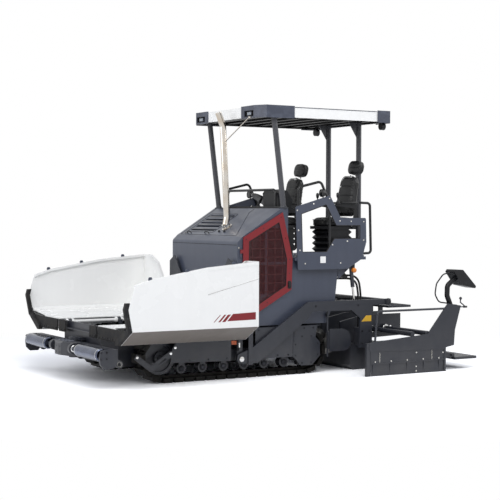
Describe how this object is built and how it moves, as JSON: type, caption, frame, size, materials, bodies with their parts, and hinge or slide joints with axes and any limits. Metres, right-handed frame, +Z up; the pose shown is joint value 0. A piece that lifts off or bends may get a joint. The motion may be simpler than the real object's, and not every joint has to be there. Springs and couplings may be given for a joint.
{
  "type": "asphalt paver",
  "caption": "Compact tracked asphalt paver with a folding hopper, push rollers, a canopied platform and a telescopic screed on tow arms.",
  "frame": {"origin": "on the ground, under the centre of the machine's outline", "axes": "+X forward to the hopper, +Y to the machine's left, +Z up"},
  "size_m": [5.4, 3.2, 3.435],
  "materials": {
    "white_paint": "gloss",
    "grey_paint": "satin",
    "red_paint": "gloss",
    "dark_steel": "worn",
    "polished_steel": "polished",
    "rubber": "matte",
    "seat_vinyl": "matte",
    "white_moulding": "gloss",
    "plastic": "matte"
  },
  "bodies": {
    "chassis": {"apron_flaps": "rubber", "auger_frame": "grey_paint", "body_shell": "grey_paint", "canopy_mouldings": "white_moulding", "canopy_posts": "grey_paint", "canopy_roof": "white_moulding", "chassis_frame": "grey_paint", "conveyor": "dark_steel", "engine_block": "dark_steel", "exhaust_pipe": "polished_steel", "handrails": "plastic", "hood": "grey_paint", "hydraulic_hoses": "rubber", "lamps": "plastic", "levelling_cylinders": "grey_paint", "operator_console": "plastic", "platform_deck": "grey_paint", "platform_guards": "grey_paint", "seat_frames": "plastic", "seat_left": "seat_vinyl", "seat_right": "seat_vinyl", "track_frames": "grey_paint", "track_left": "dark_steel", "track_right": "dark_steel"},
    "wing_l": {"wing_left": "white_paint", "wing_seal_left": "rubber"},
    "wing_r": {"wing_right": "white_paint", "wing_seal_right": "rubber"},
    "push_bar": {"push_beam": "grey_paint"},
    "roller_l": {"push_roller_left": "dark_steel"},
    "roller_r": {"push_roller_right": "dark_steel"},
    "door_l": {"side_door_left": "red_paint"},
    "door_r": {"side_door_right": "red_paint"},
    "screed": {"tow_arms": "grey_paint", "screed_main": "grey_paint"},
    "extending_l": {"extension_left": "grey_paint", "console_left": "plastic"},
    "extending_r": {"extension_right": "grey_paint", "console_right": "plastic"},
    "step_l": {"footboard_left": "grey_paint"},
    "step_r": {"footboard_right": "grey_paint"},
    "screw_l": {"auger_left": "dark_steel"},
    "screw_r": {"auger_right": "dark_steel"},
    "barrels": {"lift_barrels": "grey_paint"},
    "rods": {"lift_rods": "polished_steel"}
  },
  "joints": [
    {"name": "wing_left_fold", "type": "hinge", "parent": "chassis", "child": "wing_l", "pos_m": [1.59, 0.62, 0.662], "axis": [1, 0, 0], "range_deg": [0, 60]},
    {"name": "wing_right_fold", "type": "hinge", "parent": "chassis", "child": "wing_r", "pos_m": [1.59, -0.62, 0.662], "axis": [-1, 0, 0], "range_deg": [0, 60]},
    {"name": "push_beam_pivot", "type": "hinge", "parent": "chassis", "child": "push_bar", "pos_m": [2.47, 0, 0.4], "axis": [0, 0, 1], "range_deg": [-4, 4]},
    {"name": "push_roller_left_turn", "type": "hinge", "parent": "push_bar", "child": "roller_l", "pos_m": [2.62, 0.74, 0.41], "axis": [0, 1, 0], "continuous": true},
    {"name": "push_roller_right_turn", "type": "hinge", "parent": "push_bar", "child": "roller_r", "pos_m": [2.62, -0.74, 0.41], "axis": [0, 1, 0], "continuous": true},
    {"name": "screed_lift", "type": "hinge", "parent": "chassis", "child": "screed", "pos_m": [0.655, 0, 0.245], "axis": [0, 1, 0], "range_deg": [0, 6], "deforming": ["hydraulic_hoses"]},
    {"name": "extension_left_slide", "type": "slide", "parent": "screed", "child": "extending_l", "axis": [0, 1, 0], "range_m": [-0.57, 0.15]},
    {"name": "footboard_left_fold", "type": "hinge", "parent": "extending_l", "child": "step_l", "pos_m": [-2.3, 1.13, 0.19], "axis": [0, 1, 0], "range_deg": [0, 90]},
    {"name": "auger_left_turn", "type": "hinge", "parent": "chassis", "child": "screw_l", "pos_m": [-0.86, 0.5, 0.36], "axis": [0, 1, 0], "continuous": true},
    {"name": "side_door_left_swing", "type": "hinge", "parent": "chassis", "child": "door_l", "pos_m": [0.618, 0.902, 1.2], "axis": [0, 0, -1], "range_deg": [0, 90]},
    {"name": "extension_right_slide", "type": "slide", "parent": "screed", "child": "extending_r", "axis": [0, -1, 0], "range_m": [-0.57, 0.15]},
    {"name": "footboard_right_fold", "type": "hinge", "parent": "extending_r", "child": "step_r", "pos_m": [-2.3, -1.13, 0.19], "axis": [0, 1, 0], "range_deg": [0, 90]},
    {"name": "auger_right_turn", "type": "hinge", "parent": "chassis", "child": "screw_r", "pos_m": [-0.86, -0.5, 0.36], "axis": [0, 1, 0], "continuous": true},
    {"name": "side_door_right_swing", "type": "hinge", "parent": "chassis", "child": "door_r", "pos_m": [0.618, -0.902, 1.2], "axis": [0, 0, 1], "range_deg": [0, 90]},
    {"name": "lift_barrel_swing", "type": "hinge", "parent": "chassis", "child": "barrels", "pos_m": [-1.05, 0, 1.425], "axis": [0, 1, 0], "range_deg": [-9, 0]},
    {"name": "lift_rod_slide", "type": "slide", "parent": "barrels", "child": "rods", "axis": [0.1163, 0, 0.9932], "range_m": [0, 0.195]}
  ],
  "couplings": [
    {"joint": "lift_barrel_swing", "follows": "screed_lift", "ratio": -1.218},
    {"joint": "lift_rod_slide", "follows": "screed_lift", "m_per_rad": 1.769}
  ]
}
